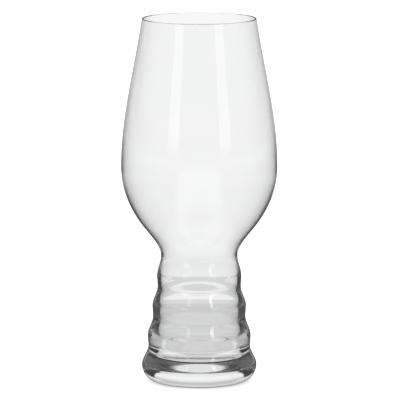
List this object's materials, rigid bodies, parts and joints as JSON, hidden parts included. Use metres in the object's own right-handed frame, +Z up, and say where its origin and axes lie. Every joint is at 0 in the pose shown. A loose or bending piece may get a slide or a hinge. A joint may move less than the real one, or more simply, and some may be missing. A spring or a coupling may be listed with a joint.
{
  "type": "beer glass",
  "caption": "Clear beer glass with a tulip bowl that narrows to its rim, on a hollow ridged stem that widens to a thick rounded foot; holds a drink.",
  "frame": {"origin": "centre of the foot's resting ring, on the surface that the glass stands on", "axes": "+Z up along the glass's axis; the glass is round, so +X and +Y are any two square directions"},
  "size_m": [0.0812, 0.0812, 0.19],
  "materials": {
    "clear_glass": "clear, colourless, fire-polished"
  },
  "bodies": {
    "root": {"bowl": "clear_glass", "stem": "clear_glass", "foot": "clear_glass"}
  },
  "joints": []
}
